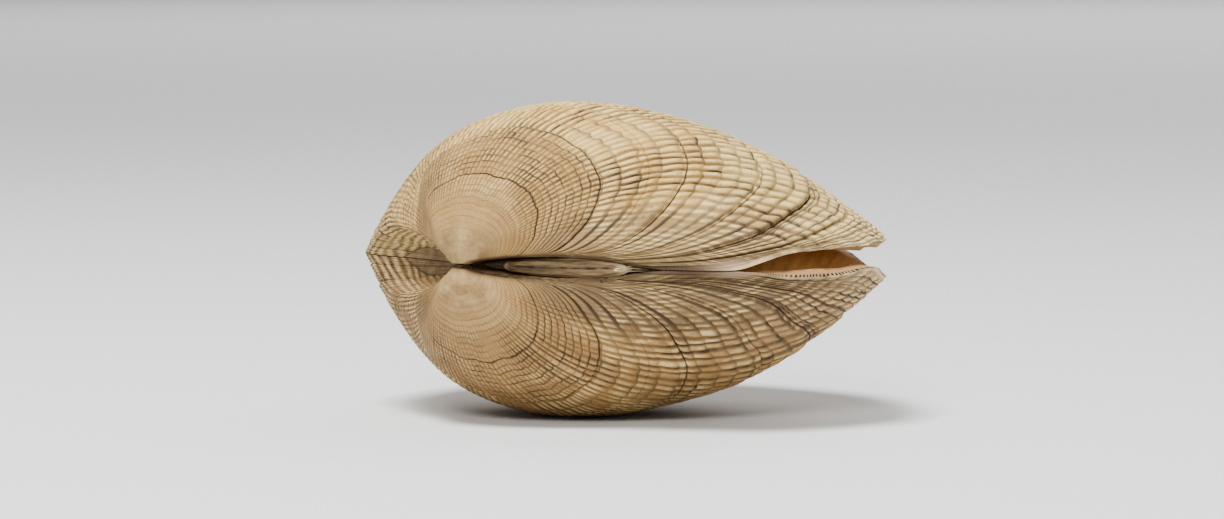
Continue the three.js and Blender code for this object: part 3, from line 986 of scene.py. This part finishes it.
def shell_material(name, tone_stops, flank_shade_tone, dirt_amount):
    """Dry, ribbed shell with dirt in its grooves and dark lines at its ledges."""
    n = ShellNodes(name)
    tone = rib_tone(n, growth_tone(n, tone_stops), flank_shade_tone)
    dirt = n.largest(rib_dirt(n), ridge_dirt(n), grit(n))
    tone = n.tinted(tone, n.times(dirt, dirt_amount), DIRT)
    smudge = n.spread(n.distance(n.line, SMUDGE_LINE), *SMUDGE_REACH, 0.75, 0.0)
    tone = n.tinted(tone, n.times(smudge, n.broken), SMUDGE)
    ledges = ledge_lines(n)
    tone = n.tinted(tone, ledges, LEDGE_LINE)
    n.put(n.shader.inputs["Base Color"], inside_tone(n, zone_tone(n, tone)))
    painted_glow(n)

    grain = n.noise(n.spot, GRAIN_NOISE, 5.0, 0.7)
    relief = n.calc("ADD", n.times(grain, 0.8), n.times(n.streaks, 0.7))
    relief = n.calc("SUBTRACT", relief, n.largest(n.flank_shade, ledges))
    n.put(n.shader.inputs["Normal"], n.bumps(relief, SHELL_RELIEF_STRENGTH, SHELL_RELIEF))
    n.put(n.shader.inputs["Roughness"], n.spread(grain, 0.3, 0.7, *SHELL_ROUGHNESS))
    n.shader.inputs["Specular IOR Level"].default_value = SHELL_GLOSS
    return n.material


def ligament_material():
    """Dry brown fibres, paler at the torn ends and dark in the groove."""
    n = Nodes("dry_ligament")
    fibres = n.noise(n.stretched(n.place(), FIBRE_STRETCH), 1.0, 5.0, 0.65)
    tone = n.ramp(fibres, FIBRE_STOPS)
    tone = n.mix(n.mask("pale"), tone, n.ramp(fibres, PALE_FIBRE_STOPS))
    tone = n.tinted(tone, n.mask("dark"), FIBRE_GROOVE)
    n.put(n.shader.inputs["Base Color"], tone)
    n.put(n.shader.inputs["Normal"], n.bumps(fibres, FIBRE_RELIEF_STRENGTH, FIBRE_RELIEF))
    n.shader.inputs["Roughness"].default_value = FIBRE_ROUGHNESS
    n.shader.inputs["Specular IOR Level"].default_value = FIBRE_GLOSS
    return n.material


# Floor, light and camera

def build_floor():
    bpy.ops.mesh.primitive_plane_add(size=FLOOR_SIZE, location=(0, 0, -FLOOR_DROP))
    floor = bpy.context.object
    floor.name = "floor"
    n = Nodes("pale_floor")
    n.shader.inputs["Base Color"].default_value = (FLOOR_GREY, FLOOR_GREY, FLOOR_GREY, 1)
    n.shader.inputs["Roughness"].default_value = FLOOR_ROUGHNESS
    floor.data.materials.append(n.material)


def light_room():
    world = bpy.data.worlds.new("studio")
    world.use_nodes = True
    background = world.node_tree.nodes["Background"]
    background.inputs["Color"].default_value = (1, 1, 1, 1)
    background.inputs["Strength"].default_value = ROOM_LIGHT
    bpy.context.scene.world = world


def add_light(name, where, target, size, power):
    light = bpy.data.lights.new(name, "AREA")
    light.shape = "RECTANGLE"
    light.size, light.size_y = size
    light.energy = power
    thing = bpy.data.objects.new(name, light)
    thing.location = where
    thing.rotation_euler = (Vector(target) - Vector(where)).to_track_quat("-Z", "Y").to_euler()
    bpy.context.scene.collection.objects.link(thing)


def add_camera():
    """A camera on the photograph's side, with the beak at its place in the picture."""
    away = Vector((
        math.sin(CAMERA_AZIMUTH) * math.cos(CAMERA_ELEVATION),
        -math.cos(CAMERA_AZIMUTH) * math.cos(CAMERA_ELEVATION),
        math.sin(CAMERA_ELEVATION),
    ))
    right = Vector((math.cos(CAMERA_AZIMUTH), math.sin(CAMERA_AZIMUTH), 0))
    up = away.cross(right)
    beak = Vector(placed(np.zeros(3)))
    aside = (PICTURE_WIDTH / 2 - BEAK_PIXEL[0]) / PIXELS_PER_MM
    above = (BEAK_PIXEL[1] - PICTURE_HEIGHT / 2) / PIXELS_PER_MM
    where = beak + away * CAMERA_DISTANCE * MM
    target = beak + (right * aside + up * above) * MM
    data = bpy.data.cameras.new("camera")
    data.sensor_width = SENSOR
    data.lens = SENSOR * PIXELS_PER_MM * CAMERA_DISTANCE / PICTURE_WIDTH
    data.clip_start = NEAR_CLIP
    camera = bpy.data.objects.new("camera", data)
    camera.location = where
    camera.rotation_euler = (target - where).to_track_quat("-Z", "Y").to_euler()
    bpy.context.scene.collection.objects.link(camera)
    bpy.context.scene.camera = camera


# Pieces

right_valve = build_valve("right_valve_surface", RIGHT_WEAR, RIGHT_RIM, RIGHT_SEED, False)
right_valve.data.materials.append(shell_material("right_shell", RIGHT_TONES, RIGHT_FLANK_SHADE, RIGHT_DIRT))
left_valve = build_valve("left_valve_surface", LEFT_WEAR, LEFT_RIM, LEFT_SEED, True)
left_valve.data.materials.append(shell_material("left_shell", LEFT_TONES_AND_SHADE, LEFT_FLANK_SHADE, LEFT_DIRT))
ligament = build_ligament()
ligament.data.materials.append(ligament_material())

for piece, node in ((right_valve, "right_valve"), (left_valve, "left_valve"), (ligament, "ligament")):
    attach(piece, "root")
    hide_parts(node)

build_floor()
light_room()
for light_settings in LIGHTS:
    add_light(*light_settings)
add_camera()
